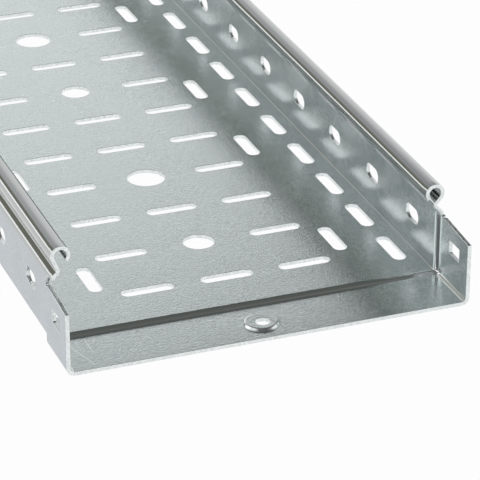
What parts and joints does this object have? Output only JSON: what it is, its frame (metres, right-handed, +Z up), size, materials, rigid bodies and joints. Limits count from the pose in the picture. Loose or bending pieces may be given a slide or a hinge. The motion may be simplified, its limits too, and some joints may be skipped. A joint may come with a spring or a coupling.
{
  "type": "perforated cable tray",
  "caption": "Long galvanised steel cable tray with a slotted floor, pierced side walls, rolled top edges and a stepped coupling end.",
  "frame": {"origin": "under the middle of the whole length and width, at the level of the coupling's underside", "axes": "+Y along the tray, away from the coupling end; +X across it; +Z up, out of the open side"},
  "size_m": [0.204, 2.0334, 0.053],
  "materials": {
    "galvanised_steel": "pre-galvanised sheet, light grey, satin, with fine zinc grain and bright cut edges"
  },
  "bodies": {
    "root": {"tray": "galvanised_steel"}
  },
  "joints": []
}
